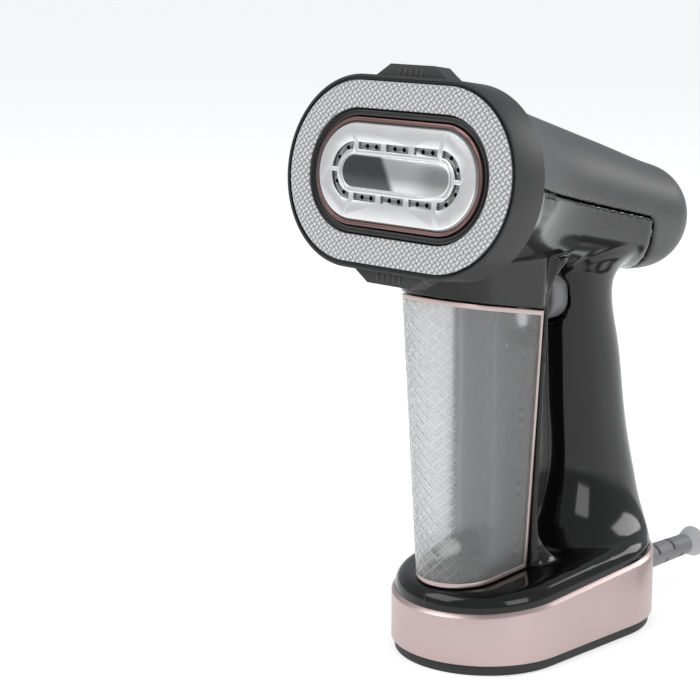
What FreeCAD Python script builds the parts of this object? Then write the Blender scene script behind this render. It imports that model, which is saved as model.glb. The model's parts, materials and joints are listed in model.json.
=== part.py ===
"""Handheld garment steamer with a stand base, a loop handle, a lift-off tank and a clip-on fabric pad.

Millimetres, +Z up. The origin is the centre of the base's underside. The steam face looks along -Y.
The head (nose, plate, boiler and barrel) is drawn level about its own axis and then tilted nose-up.
Head coordinates are (X, s, w): s runs rearward along the barrel and w runs up across it.
"""
import FreeCAD, Part
import math
import os
from FreeCAD import Vector

# ---- driving dimensions ----
BASE_RADIUS = 42.6          # ends of the racetrack-shaped base
BASE_HALF = 29.2            # half the straight run of the base
FOOT_HEIGHT = 5.2
BAND_WALL = 1.6
BAND_TOP = 33.1             # top of the metal band on the centre line
BASE_SLOPE = 0.07           # the band and the dome rise towards the rear
DOME_TOP = 41.3
WALL = 2.3                  # moulded walls
SCREW_PLACES = [(-34.5, -24.0), (34.5, -24.0), (-34.5, 26.0), (34.5, 26.0)]

HEAD_TILT = -8.74           # degrees, nose up
HEAD_PIVOT = (-40.2, 216.0)  # Y and Z of the head's own origin
HEAD_HALF = 24.7            # half the straight run of the steam face
FACE_RADIUS = 41.5          # outer edge of the pad ring
FABRIC_RADIUS = 39.1
LIP_RADIUS = 26.4           # black seal round the steam plate
PLATE_RADIUS = 19.9
PLATE_FRONT = -50.6
PAD_BACK = -32.0
NOSE_RADIUS = 38.7

TANK_LOW = (42.0, 19.9, -46.2, -21.0)    # height, front radius, its centre in Y, rear edge in Y
TANK_HIGH = (164.0, 22.3, -52.2, -14.8)
TANK_WALL = 2.0
TANK_TOP = (155.6, -0.19)                # height on the centre line and slope along Y
TRIM = 1.6                               # width of the metal edge trim
RIB_HALF = 9.4                           # the hollow rib that runs up behind the tank
RIB_FRONT = -36.0

TRIGGER_PIN = (19.4, 169.5)              # Y and Z of the trigger's pivot
TRIGGER_TRAVEL_GAP = 0.45
PIN_RADIUS = 1.5
RUNNING = 0.04
TRIGGER_DROP = 1.3                       # how far the pulled trigger's front edge sinks in its window

BUTTON_W = -2.0                          # power button on the barrel's rear end, in head coordinates
LENS_W = -16.0                           # indicator light below it

CORD_RADIUS = 3.5
CORD_HEIGHT = 13.6
GUARD_END = 128.0
BULB_END = 140.0

# Sections of the barrel in head coordinates: s, centre w, half width, half height.
BARREL = [
    (-31.0, 0.15, 62.0, 38.7), (-15.0, 0.0, 55.0, 37.9), (5.0, -0.65, 45.0, 36.5),
    (30.0, -2.05, 37.0, 34.3), (60.0, -3.9, 32.0, 31.5), (90.0, -5.75, 28.6, 28.5),
    (119.0, -7.6, 25.8, 25.8),
]
SEAM = (-0.8, -0.068)                    # height w of the cover's seam at s = 0, and its slope
SADDLE_REAR = (101.0, 111.0)             # s of the glossy saddle's rear edge, at the seam and below

# Sections of the rear handle: height, centre Y, half width, half depth.
GRIP = [
    (30.0, 33.0, 37.0, 37.6), (38.0, 34.5, 36.0, 37.0), (44.0, 37.0, 32.6, 35.6),
    (50.0, 39.6, 26.6, 33.8), (56.0, 41.2, 23.0, 32.0), (64.0, 42.6, 20.4, 29.6),
    (73.0, 43.0, 18.7, 27.2), (102.0, 39.1, 17.0, 24.0),
    (135.0, 35.2, 16.0, 22.0), (158.0, 31.6, 15.6, 20.2), (166.0, 31.6, 16.4, 21.6),
    (172.0, 33.0, 19.0, 26.5), (179.0, 35.0, 23.5, 35.0),
]
# Sections of the plate behind the tank: height, half width, front Y, rear Y.
SPINE = [
    (34.0, 26.0, -20.4, 4.0), (40.0, 24.5, -20.2, 0.0), (46.0, 22.6, -19.9, -7.0),
    (54.0, 21.2, -19.5, -12.5), (64.0, 20.6, -19.0, -15.0),
]
SPINE_TOP = [(164.0, 21.0, -13.6, -10.2), (171.0, 22.5, -13.6, -8.2), (182.0, 27.0, -13.6, -1.0)]

# The cord's route on the floor, from the guard to its coil, in mm.
COIL_CENTRE = (54.35, 214.0)
COIL_MIDDLE_RADIUS = 41.3
COIL_HALF_WIDTH = 16.8
COIL_HEIGHT = 14.5
CORD_ROUTE = [
    (0.0, 140.0, 13.6), (0.0, 152.0, 13.6), (-0.3, 164.0, 9.8), (-0.8, 176.0, 5.4),
    (-0.8, 188.0, 3.7), (0.0, 204.0, 3.7),
]
TAIL_ROUTE = [
    (108.7, 208.0, 10.8), (108.1, 194.0, 10.1), (105.8, 181.0, 8.2), (102.4, 168.0, 7.1), (98.3, 155.0, 7.7),
    (94.8, 142.0, 7.7),
]

# Sections of the mains plug along its own axis: distance, half width, half height.
PLUG_SECTIONS = [(0.0, 5.0, 4.6), (8.0, 6.0, 5.4), (18.0, 10.5, 6.4), (26.0, 16.0, 7.0), (34.0, 17.6, 7.0)]


def save(shape, name):
    """Write one node."""
    shape.exportStep("parts/" + name + ".step")


def fuse(shapes):
    """Join a list of solids into one."""
    result = shapes[0]
    for shape in shapes[1:]:
        result = result.fuse(shape)
    return result


def box(x0, x1, y0, y1, z0, z1):
    return Part.makeBox(x1 - x0, y1 - y0, z1 - z0, Vector(x0, y0, z0))


def rod(radius, start, end):
    """A cylinder from one point to another."""
    start = Vector(*start)
    end = Vector(*end)
    return Part.makeCylinder(radius, (end - start).Length, start, end - start)


def tube(outer, inner, start, end):
    return rod(outer, start, end).cut(rod(inner, start, end))


def racetrack(half, radius, length):
    """A racetrack-shaped prism, long in X, rising from z = 0."""
    left = Vector(-half, 0, 0)
    right = Vector(half, 0, 0)
    up = Vector(0, radius, 0)
    side = Vector(radius, 0, 0)
    edges = [
        Part.LineSegment(left - up, right - up).toShape(),
        Part.Arc(right - up, right + side, right + up).toShape(),
        Part.LineSegment(right + up, left + up).toShape(),
        Part.Arc(left + up, left - side, left - up).toShape(),
    ]
    return Part.Face(Part.Wire(edges)).extrude(Vector(0, 0, length))


def base_prism(radius, low, high):
    """A racetrack prism of the base, long in Y."""
    shape = racetrack(BASE_HALF, radius, high - low)
    shape.rotate(Vector(0, 0, 0), Vector(0, 0, 1), 90)
    shape.translate(Vector(0, 0, low))
    return shape


def face_prism(radius, front, back, half=HEAD_HALF):
    """A racetrack prism of the head in head coordinates, from s = front to s = back."""
    shape = racetrack(half, radius, back - front)
    shape.rotate(Vector(0, 0, 0), Vector(1, 0, 0), -90)
    shape.translate(Vector(0, front, 0))
    return shape


def face_ring(outer, inner, front, back):
    return face_prism(outer, front, back).cut(face_prism(inner, front - 1, back + 1))


def tilted(shape):
    """Move a shape from head coordinates to the part's own."""
    shape = shape.copy()
    shape.rotate(Vector(0, 0, 0), Vector(1, 0, 0), HEAD_TILT)
    shape.translate(Vector(0, HEAD_PIVOT[0], HEAD_PIVOT[1]))
    return shape


def below_slope(height, slope, low=-50.0):
    """Everything under the plane z = height + slope * y."""
    reach = 200.0
    points = [
        Vector(-reach, -reach, low), Vector(-reach, reach, low),
        Vector(-reach, reach, height + slope * reach), Vector(-reach, -reach, height - slope * reach),
    ]
    return Part.Face(Part.makePolygon(points + points[:1])).extrude(Vector(2 * reach, 0, 0))


def oval(centre, across, along, half_a, half_b, power=2.0, count=24):
    """A closed smooth wire: an ellipse at power 2, squarer above it."""
    points = []
    for step in range(count):
        angle = 2 * math.pi * step / count
        c, s = math.cos(angle), math.sin(angle)
        a = half_a * math.copysign(abs(c) ** (2 / power), c)
        b = half_b * math.copysign(abs(s) ** (2 / power), s)
        points.append(centre + across * a + along * b)
    curve = Part.BSplineCurve()
    curve.interpolate(points, PeriodicFlag=True)
    return Part.Wire(curve.toShape())


def barrel_solid(inset, start=0):
    """The barrel from the nose to its round rear end, in head coordinates."""
    sections = [(s, w, wide - inset, high - inset) for s, w, wide, high in BARREL[start:]]
    s, w, radius, _ = BARREL[-1]
    radius -= inset
    for degrees in (20, 38, 54, 68, 79, 86):
        angle = math.radians(degrees)
        sections.append((s + radius * math.sin(angle), w, radius * math.cos(angle), radius * math.cos(angle)))
    wires = [oval(Vector(0, s, w), Vector(1, 0, 0), Vector(0, 0, 1), a, b) for s, w, a, b in sections]
    return Part.makeLoft(wires, True, False)


def saddle_region(gap):
    """The part of the barrel that the glossy body forms, in head coordinates."""
    rear, foot = SADDLE_REAR
    corner = 7.0
    seam_rear = SEAM[0] + SEAM[1] * rear - gap
    points = [
        Vector(0, -31.0, SEAM[0] - SEAM[1] * 31.0 - gap), Vector(0, rear - corner - gap, seam_rear + 0.5),
        Vector(0, rear - gap, seam_rear - corner), Vector(0, foot - gap, -30.0), Vector(0, foot - gap, -80.0),
        Vector(0, -31.0, -80.0),
    ]
    bulge = Vector(0, rear - gap - 2.0, seam_rear - 1.6)
    edges = [
        Part.LineSegment(points[0], points[1]).toShape(),
        Part.Arc(points[1], bulge, points[2]).toShape(),
    ]
    for index in range(2, 6):
        edges.append(Part.LineSegment(points[index], points[(index + 1) % 6]).toShape())
    face = Part.Face(Part.Wire(edges))
    face.translate(Vector(-90, 0, 0))
    return face.extrude(Vector(180, 0, 0))


def u_wire(height, radius, centre, rear, corner=3.0):
    """A section with a round front, straight sides and a flat rear with small corners."""
    turn = corner * (1 - math.sqrt(0.5))
    a = Vector(-radius, centre, height)
    b = Vector(0, centre - radius, height)
    c = Vector(radius, centre, height)
    d = Vector(radius, rear - corner, height)
    e = Vector(radius - turn, rear - turn, height)
    f = Vector(radius - corner, rear, height)
    g = Vector(corner - radius, rear, height)
    h = Vector(turn - radius, rear - turn, height)
    i = Vector(-radius, rear - corner, height)
    edges = [
        Part.Arc(a, b, c).toShape(), Part.LineSegment(c, d).toShape(), Part.Arc(d, e, f).toShape(),
        Part.LineSegment(f, g).toShape(), Part.Arc(g, h, i).toShape(), Part.LineSegment(i, a).toShape(),
    ]
    return Part.Wire(edges)


def column(low, high, inset=0.0, rear_inset=0.0, corner=3.0):
    """The leaning column of the tank between two heights, shrunk by an inset."""
    def section(height):
        share = (height - TANK_LOW[0]) / (TANK_HIGH[0] - TANK_LOW[0])
        radius, centre, rear = (TANK_LOW[k] + share * (TANK_HIGH[k] - TANK_LOW[k]) for k in (1, 2, 3))
        return u_wire(height, radius - inset, centre, rear - rear_inset, corner)
    return Part.makeLoft([section(low), section(high)], True, True)


def grip_solid(inset):
    wires = []
    for z, centre, wide, deep in GRIP:
        wires.append(oval(Vector(0, centre, z), Vector(1, 0, 0), Vector(0, 1, 0), wide - inset, deep - inset,
                          2.3, 32))
    return Part.makeLoft(wires, True, False)


def spine_loft(sections, ruled):
    wires = []
    for z, half, front, rear in sections:
        centre = (front + rear) / 2
        wires.append(oval(Vector(0, centre, z), Vector(1, 0, 0), Vector(0, 1, 0), half, (rear - front) / 2,
                          5.0, 40))
    return Part.makeLoft(wires, True, ruled)


def rib(inset, low, high):
    """The hollow rib behind the tank, leaning with it."""
    wires = []
    for z in (low, high):
        share = (z - TANK_LOW[0]) / (TANK_HIGH[0] - TANK_LOW[0])
        rear = TANK_LOW[3] + share * (TANK_HIGH[3] - TANK_LOW[3]) + 2.0
        half = RIB_HALF - inset
        corners = [Vector(-half, RIB_FRONT + inset, z), Vector(half, RIB_FRONT + inset, z),
                   Vector(half, rear, z), Vector(-half, rear, z)]
        wires.append(Part.makePolygon(corners + corners[:1]))
    return Part.makeLoft(wires, True, True)


def rounded_path(points):
    """Straight runs joined by the largest tangent arcs, with the radius of each arc."""
    points = [Vector(*p) for p in points]
    edges, radii = [], []
    start = points[0]
    for before, corner, after in zip(points, points[1:], points[2:]):
        toward = (corner - before).normalize()
        onward = (after - corner).normalize()
        reach = 0.45 * min((corner - before).Length, (after - corner).Length)
        turn = toward.getAngle(onward)
        enter = corner - toward * reach
        leave = corner + onward * reach
        radius = reach / math.tan(turn / 2)
        middle = (enter + leave) * 0.5
        inward = (middle - corner).normalize()
        top = corner + inward * (radius / math.cos(turn / 2) - radius)
        edges.append(Part.LineSegment(start, enter).toShape())
        edges.append(Part.Arc(enter, top, leave).toShape())
        radii.append(round(radius, 1))
        start = leave
    edges.append(Part.LineSegment(start, points[-1]).toShape())
    return Part.Wire(edges), radii


def swept(points, radius, label):
    """A tube along a rounded path; its volume is compared with section times length."""
    path, radii = rounded_path(points)
    points = [Vector(*p) for p in points]
    circle = Part.Wire(Part.makeCircle(radius, points[0], points[1] - points[0]))
    solid = path.makePipeShell([circle], True, False)
    share = solid.Volume / (math.pi * radius ** 2 * path.Length)
    print(label, "length", round(path.Length, 1), "radii", radii, "volume share", round(share, 4))
    return solid


def coil_spring(radius, wire, pitch, height, base, direction):
    """A compression spring standing on base along direction."""
    helix = Part.makeHelix(pitch, height, radius)
    section = Part.Wire(Part.makeCircle(wire, Vector(radius, 0, 0), Vector(0, 1, 0)))
    solid = Part.Wire(helix.Edges).makePipeShell([section], True, True)
    solid.Placement = FreeCAD.Placement(Vector(*base), FreeCAD.Rotation(Vector(0, 0, 1), Vector(*direction)))
    return solid


def screw(head, shank, start, end):
    """A pan-head screw: its head sits at start and its shank ends at end."""
    start, end = Vector(*start), Vector(*end)
    along = (end - start).normalize()
    body = Part.makeCylinder(shank, (end - start).Length, start, along)
    cap = Part.makeCylinder(head, 2.0, start - along * 2.0, along)
    slot = Part.makeBox(head * 2.4, 0.7, 0.8, Vector(-head * 1.2, -0.35, 0))
    slot.Placement = FreeCAD.Placement(start - along * 2.0, FreeCAD.Rotation(Vector(0, 0, 1), along))
    return body.fuse(cap).cut(slot)


# ---- base ----
def make_base():
    foot = base_prism(BASE_RADIUS - 1.6, 0, FOOT_HEIGHT)
    foot = foot.cut(base_prism(BASE_RADIUS - 4.4, 2.0, FOOT_HEIGHT + 1))
    save(foot, "base_foot")

    plate = base_prism(BASE_RADIUS - BAND_WALL - 0.2, FOOT_HEIGHT, FOOT_HEIGHT + 3.0)
    for x, y in SCREW_PLACES:
        plate = plate.cut(rod(1.7, (x, y, 0), (x, y, 20)))
    for y in (-20.0, -10.0, 0.0):
        plate = plate.cut(box(-12, 12, y - 1, y + 1, 0, 20))
    save(plate, "base_plate")
    screws = [screw(3.0, 1.5, (x, y, FOOT_HEIGHT), (x, y, 19.5)) for x, y in SCREW_PLACES]
    save(Part.makeCompound(screws), "base_screws")

    band = base_prism(BASE_RADIUS, FOOT_HEIGHT, 60).common(below_slope(BAND_TOP, BASE_SLOPE))
    rim = [edge for edge in band.Edges if edge.BoundBox.ZMin > FOOT_HEIGHT + 5 and edge.Length > 20]
    band = band.makeChamfer(1.7, rim)
    band = band.cut(base_prism(BASE_RADIUS - BAND_WALL, 0, 80))
    band = band.cut(cord_hole(0.0))
    save(band, "base_band")


def cord_hole(extra):
    """The round way out for the cord guard's neck."""
    return rod(5.4 + extra, (0, 60, CORD_HEIGHT), (0, 90, CORD_HEIGHT))


# ---- body halves ----
def make_body():
    dome = base_prism(BASE_RADIUS - BAND_WALL - 0.1, FOOT_HEIGHT + 3.4, 90)
    dome = dome.common(below_slope(DOME_TOP, BASE_SLOPE))
    rim = [edge for edge in dome.Edges if edge.BoundBox.ZMin > 25 and edge.Length > 20]
    dome = dome.makeFillet(7.0, rim)
    dome_inside = base_prism(BASE_RADIUS - BAND_WALL - WALL, 0, 90)
    dome_inside = dome_inside.common(below_slope(DOME_TOP - WALL - 1.6, BASE_SLOPE))

    barrel = tilted(barrel_solid(0.0).common(saddle_region(0.0)))
    collar = column(150.0, 190.0, -0.5, -0.6, 3.5)
    collar = collar.cut(below_slope(TANK_TOP[0] + 0.5, TANK_TOP[1]))
    collar = collar.common(tilted(box(-90, 90, -31.0, 90, -90, -25)))
    spine = [spine_loft(SPINE, False), spine_loft([SPINE[-1], SPINE_TOP[0]], True), spine_loft(SPINE_TOP, False)]
    limit = tilted(box(-90, 90, -120, 160, -300, -12))
    skirt = box(-60, 60, -80, 90, 20, 46).cut(base_prism(BASE_RADIUS - BAND_WALL - 0.1, 0, 60))
    grip = grip_solid(0.0).common(limit).cut(skirt)
    outside = fuse([dome, grip, barrel, collar, rib(0.0, 37.0, 172.0)]
                   + [piece.common(limit) for piece in spine])

    duct = rib(2.1, 30.0, 178.0)
    collar_inside = column(150.0, 192.0, WALL, WALL, 3.0)
    collar_inside = collar_inside.cut(below_slope(TANK_TOP[0] + 3.0, TANK_TOP[1]))
    body = outside
    for hollow in (dome_inside, grip_solid(WALL), tilted(barrel_solid(WALL)), collar_inside, duct):
        body = body.cut(hollow)
    body = body.cut(trigger_window())
    body = body.cut(grip_strip_region(0.0))
    body = body.cut(cord_hole(0.0)).cut(rod(2.8, (0, RIB_FRONT - 1, 52.0), (0, RIB_FRONT + 3, 52.0)))
    bosses = []
    for x, y in SCREW_PLACES:
        boss = rod(4.4, (x, y, FOOT_HEIGHT + 3.4), (x, y, 27)).cut(rod(1.5, (x, y, 0), (x, y, 20)))
        bosses.append(boss.common(base_prism(BASE_RADIUS - BAND_WALL - 0.5, 0, 60)))
    body = fuse([body] + bosses)
    reach = 200.0
    for name, x0, x1 in (("body_left", -reach, 0.0), ("body_right", 0.0, reach)):
        half = body.common(box(x0, x1, -reach, reach, -reach, 2 * reach))
        solids = sorted(half.Solids, key=lambda solid: -solid.Volume)
        print(name, "solids", [round(solid.Volume, 1) for solid in solids])
        save(solids[0], name)

    strip = grip_strip_region(0.25)
    save(max(strip.Solids, key=lambda solid: solid.Volume), "grip_strip")

    cover = barrel_solid(0.0).cut(barrel_solid(WALL))
    cover = cover.cut(saddle_region(-0.15))
    cover = cover.cut(rod(7.3, (0, 100, BUTTON_W), (0, 160, BUTTON_W)))
    cover = cover.cut(rod(2.05, (0, 100, LENS_W), (0, 160, LENS_W)))
    solids = sorted(tilted(cover).Solids, key=lambda solid: -solid.Volume)
    print("barrel_cover solids", [round(solid.Volume, 1) for solid in solids])
    save(solids[0], "barrel_cover")


def trigger_window():
    """The opening in the front of the grip, as wide as the trigger plus its gap and as low as it swings."""
    window = trigger_cap(TRIGGER_TRAVEL_GAP, -20.0, 24.0)
    lower = window.copy()
    lower.translate(Vector(0, 0, -TRIGGER_DROP))
    return window.fuse(lower)


def trigger_cap(grow, front, back):
    """The trigger's rounded outline, pushed from front to back along Y."""
    shape = racetrack(3.2, 9.4 + grow, back - front)
    shape.rotate(Vector(0, 0, 0), Vector(0, 0, 1), 90)
    shape.rotate(Vector(0, 0, 0), Vector(1, 0, 0), -90)
    shape.translate(Vector(0, front, 161.2))
    return shape


def grip_strip_region(gap):
    """The strip down the back of the grip, cut from it for a soft insert."""
    band = grip_solid(0.0).cut(grip_solid(1.1 - gap * 0.2))
    return band.common(box(-7.5 + gap, 7.5 - gap, 40.0, 90.0, 66.0 + gap, 158.0 - gap))


# ---- nose, pad and steam plate ----
def make_nose():
    wall = face_ring(NOSE_RADIUS, NOSE_RADIUS - 2.0, -45.2, -31.2)
    front = face_ring(NOSE_RADIUS, LIP_RADIUS + 0.02, -45.2, -43.2)
    neck = face_ring(LIP_RADIUS + 2.0, LIP_RADIUS + 0.02, -45.2, -38.0)
    save(tilted(fuse([wall, front, neck])), "nose_housing")

    seal = face_ring(LIP_RADIUS, 23.9, -48.6, -39.0)
    groove = face_ring(25.5, 24.9, -49.0, -47.9)
    save(tilted(seal.cut(groove)), "nose_seal")

    bezel = face_ring(23.2, PLATE_RADIUS + 1.55, -49.6, -43.0)
    save(tilted(bezel), "plate_bezel")

    plate = face_prism(PLATE_RADIUS + 1.5, PLATE_FRONT, PLATE_FRONT + 3.2)
    rim = [edge for edge in plate.Edges if abs(edge.BoundBox.YMax - PLATE_FRONT) < 0.01]
    plate = plate.makeChamfer(1.3, rim)
    for slot in steam_slots():
        plate = plate.cut(slot)
    plate = plate.cut(face_ring(7.4, 7.0, PLATE_FRONT - 1, PLATE_FRONT + 0.4))
    save(tilted(plate), "steam_plate")
    emblem = face_prism(6.9, PLATE_FRONT - 0.25, PLATE_FRONT, 23.8)
    save(tilted(emblem), "plate_plaque")


def steam_slots():
    """Ten shallow slots round the plaque, each with two steam holes through the plate."""
    track, half_width, depth = 10.9, 1.6, 1.2
    front = PLATE_FRONT - 1.0
    cuts = []
    for side in (-1, 1):
        for step in (-1, 0, 1):
            x = step * 16.2
            cuts.append(box(x - 6.6, x + 6.6, front, PLATE_FRONT + depth, side * track - half_width,
                            side * track + half_width))
            for offset in (-2.4, 3.0):
                cuts.append(rod(1.05, (x + offset, front, side * track), (x + offset, front + 6, side * track)))
    ring = tube(track + half_width, track - half_width, (0, front, 0), (0, PLATE_FRONT + depth, 0))
    for side in (-1, 1):
        for up in (-1, 1):
            quarter = ring.common(box(0.9, 30, front - 1, 0, 0.9, 30))
            quarter.rotate(Vector(0, 0, 0), Vector(0, 1, 0), {(1, 1): 0, (1, -1): 90, (-1, -1): 180,
                                                              (-1, 1): 270}[(side, up)])
            quarter.translate(Vector(side * HEAD_HALF, 0, 0))
            cuts.append(quarter)
            for degrees in (28, 62):
                x = side * (HEAD_HALF + track * math.cos(math.radians(degrees)))
                w = up * track * math.sin(math.radians(degrees))
                cuts.append(rod(1.05, (x, front, w), (x, front + 6, w)))
    return cuts


def finger_tab(side):
    """A trapezoid grip on the edge of the pad ring, above it or below it."""
    edge = side * (FACE_RADIUS - 1.0)
    top = side * (FACE_RADIUS + 5.2)
    points = [Vector(-22, -47.0, edge), Vector(22, -47.0, edge), Vector(12.5, -47.0, top), Vector(-12.5, -47.0, top)]
    return Part.Face(Part.makePolygon(points + points[:1])).extrude(Vector(0, 10.0, 0))


def make_pad():
    wall = face_ring(FACE_RADIUS, NOSE_RADIUS + 0.5, -49.5, PAD_BACK)
    groove = face_ring(FACE_RADIUS - 1.2, FABRIC_RADIUS + 0.1, -50, -48.2)
    flange = face_ring(FACE_RADIUS - 1.0, LIP_RADIUS + 0.5, -47.8, -45.8)
    tabs = [finger_tab(1), finger_tab(-1)]
    frame = fuse([wall.cut(groove), flange] + tabs)
    frame = frame.cut(face_prism(NOSE_RADIUS + 0.5, -45.8, 0))
    save(tilted(frame), "pad_frame")
    save(tilted(face_ring(FABRIC_RADIUS - 0.6, LIP_RADIUS + 1.0, -49.0, -47.8)), "pad_foam")
    save(tilted(face_ring(FABRIC_RADIUS, LIP_RADIUS + 0.5, -50.3, -49.0)), "pad_fabric")


# ---- boiler ----
def heater(radius):
    """The U-shaped heating rod, its two legs open towards the rear."""
    bend = Part.makeTorus(13.0, radius, Vector(0, -14, 1.0), Vector(0, 0, 1))
    bend = bend.common(box(-30, 30, -60, -14, -20, 20))
    legs = [rod(radius, (x, -14, 1.0), (x, 34, 1.0)) for x in (-13.0, 13.0)]
    return fuse([bend] + legs)


def make_boiler():
    screws = [(x, s) for x in (-20.5, 20.5) for s in (-24.0, 2.0, 25.0)]
    low = box(-24, 24, -34, 28.5, -18, 1.0).fuse(face_prism(PLATE_RADIUS + 1.0, -47.3, -34.0))
    chamber = box(-17, 17, -38, 22, -14, -7.0)
    outlet = face_prism(12.5, -48.0, -37.0)
    low = low.cut(chamber).cut(outlet).cut(heater(3.0))
    lid = box(-24, 24, -33.5, 28.5, 1.0, 14.5).cut(heater(3.0))
    for x, s in screws:
        low = low.cut(rod(1.5, (x, s, -9), (x, s, 2)))
        lid = lid.cut(rod(1.75, (x, s, 0), (x, s, 20)))
    lid = lid.cut(rod(2.1, (0, 8, 0), (0, 8, 20)))
    low = low.cut(rod(2.1, (0, 8, -8), (0, 8, 2)))
    save(tilted(low), "boiler_base")
    save(tilted(lid), "boiler_lid")
    save(tilted(heater(3.0)), "heating_element")
    save(tilted(Part.makeCompound([screw(3.2, 1.5, (x, s, 14.5), (x, s, -8)) for x, s in screws])),
         "boiler_screws")
    thermostat = rod(8.0, (0, -14, 14.5), (0, -14, 20.5)).fuse(box(-5, 5, -17, -11, 20.5, 23.0))
    save(tilted(thermostat), "thermostat")
    save(tilted(rod(2.0, (-9, 20, 16.5), (9, 20, 16.5))), "thermal_fuse")
    save(tilted(tube(2.1, 1.2, (0, 8, -7), (0, 8, 20)).fuse(tube(3.4, 2.1, (0, 8, 14.5), (0, 8, 17)))),
         "water_inlet")


# ---- tank ----
def tank_outline(inset, low_gap, high_gap):
    """The tank's closed outer form, with a recess for the rib behind it."""
    solid = column(30.0, 175.0, inset, inset, 2.5)
    solid = solid.common(below_slope(TANK_TOP[0] - high_gap, TANK_TOP[1]))
    solid = solid.cut(below_slope(DOME_TOP + 0.8 + low_gap, BASE_SLOPE))
    recess = box(-RIB_HALF - 0.6 - inset, RIB_HALF + 0.6 + inset, RIB_FRONT - 0.6 - inset, 60, 0, 220)
    return solid.cut(recess)


def make_tank():
    outline = tank_outline(0.0, 0.0, 0.0)
    shell = outline.cut(tank_outline(TANK_WALL, TANK_WALL, TANK_WALL))
    core = tank_outline(0.9, 0.9, 0.9)
    side_cut = [Vector(-60, TANK_LOW[3] - TRIM * 2.0, 42.0), Vector(-60, TANK_HIGH[3] - TRIM * 2.0, 164.0)]
    lean = (side_cut[1] - side_cut[0]).normalize()
    first = side_cut[0] - lean * 60
    last = side_cut[1] + lean * 60
    points = [first, last, last + Vector(0, 60, 0), first + Vector(0, 60, 0)]
    rear_zone = Part.Face(Part.makePolygon(points + points[:1])).extrude(Vector(120, 0, 0))
    high_zone = box(-60, 60, -120, 20, 0, 260).cut(below_slope(TANK_TOP[0] - TRIM * 1.3, TANK_TOP[1]))
    low_zone = below_slope(DOME_TOP + 0.8 + TRIM * 1.3, BASE_SLOPE)
    zones = fuse([rear_zone, high_zone, low_zone.common(box(-60, 60, -120, 20, 0, 80))])
    inner_side = box(-RIB_HALF - 3.6, RIB_HALF + 3.6, RIB_FRONT - 3.4, 60, 0, 220)
    trim = outline.cut(core).common(zones).cut(inner_side)
    trim = max(trim.Solids, key=lambda solid: solid.Volume)
    trim = trim.cut(rod(5.0, (15.4, -40, 146.0), (15.4, 0, 146.0)))
    shell = shell.cut(trim)
    seat = (0, RIB_FRONT - 0.6, 52.0)
    shell = shell.cut(rod(6.0, (0, RIB_FRONT - 3.2, 52.0), (0, RIB_FRONT, 52.0)))
    shell = shell.cut(rod(5.0, (15.4, -40, 146.0), (15.4, 0, 146.0)))
    shell = max(shell.Solids, key=lambda solid: solid.Volume)
    save(shell, "tank_shell")
    save(trim, "tank_trim")

    valve = rod(5.95, (0, seat[1] - 12, 52.0), (0, seat[1], 52.0))
    valve = valve.cut(rod(4.2, (0, seat[1] - 10, 52.0), (0, seat[1] - 2.2, 52.0)))
    valve = valve.cut(rod(3.2, (0, seat[1] - 3, 52.0), (0, seat[1] + 1, 52.0)))
    valve = valve.cut(rod(1.6, (0, seat[1] - 14, 52.0), (0, seat[1] - 9, 52.0)))
    save(valve, "tank_valve_body")
    poppet = rod(3.9, (0, seat[1] - 6.2, 52.0), (0, seat[1] - 4.6, 52.0))
    poppet = poppet.fuse(rod(1.2, (0, seat[1] - 12.5, 52.0), (0, seat[1] - 2.2, 52.0)))
    save(poppet, "tank_valve_poppet")
    save(coil_spring(2.6, 0.3, 1.1, 2.2, (0, seat[1] - 9.6, 52.0), (0, 1, 0)), "tank_valve_spring")
    plug = rod(4.9, (15.4, -17.6, 146.0), (15.4, -15.9, 146.0)).fuse(
        rod(3.6, (15.4, -22, 146.0), (15.4, -17.6, 146.0)))
    save(plug, "tank_fill_plug")
    filter_cage = tube(3.6, 2.6, (0, -62, 52.0), (0, seat[1] - 12.6, 52.0))
    save(filter_cage, "tank_filter")

    nozzle = tube(2.8, 1.4, (0, RIB_FRONT - 2.4, 52.0), (0, RIB_FRONT + 6, 52.0))
    save(nozzle, "water_nozzle")


# ---- trigger ----
def make_trigger():
    y, z = TRIGGER_PIN
    cap = trigger_cap(0.0, 5.6, 16.0)
    front = [edge for edge in cap.Edges if edge.BoundBox.YMax < 5.7]
    cap = cap.makeFillet(2.4, front)
    cap = cap.cut(trigger_cap(-2.0, 8.5, 20.0))
    ear = box(-3.0, 3.0, 8.0, y, z - 3.2, z + 0.6).fuse(rod(3.3, (-3.0, y, z), (3.0, y, z)))
    rib_post = box(-2.0, 2.0, 8.0, 17.0, 152.0, 160.0)
    trigger = fuse([cap, ear, rib_post]).cut(rod(PIN_RADIUS + RUNNING, (-6, y, z), (6, y, z)))
    save(trigger, "trigger")
    save(rod(PIN_RADIUS, (-8.6, y, z), (8.6, y, z)), "trigger_pin")
    bracket = box(-8.6, 8.6, 29.0, 31.0, 147.0, 173.0)
    for x0, x1 in ((-8.6, -6.8), (6.8, 8.6)):
        bracket = bracket.fuse(box(x0, x1, y - 2.8, 29.0, z - 3.5, z + 2.8))
    bracket = bracket.cut(rod(PIN_RADIUS, (-9, y, z), (9, y, z)))
    save(bracket, "trigger_bracket")
    spring = tube(2.9, PIN_RADIUS + 0.3, (3.4, y, z), (6.4, y, z))
    save(spring, "trigger_spring")
    switch = box(-3.4, 3.4, 22.5, 29.0, 148.5, 162.0).fuse(rod(1.3, (0, 21.2, 156), (0, 22.5, 156)))
    save(switch, "microswitch")


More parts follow.
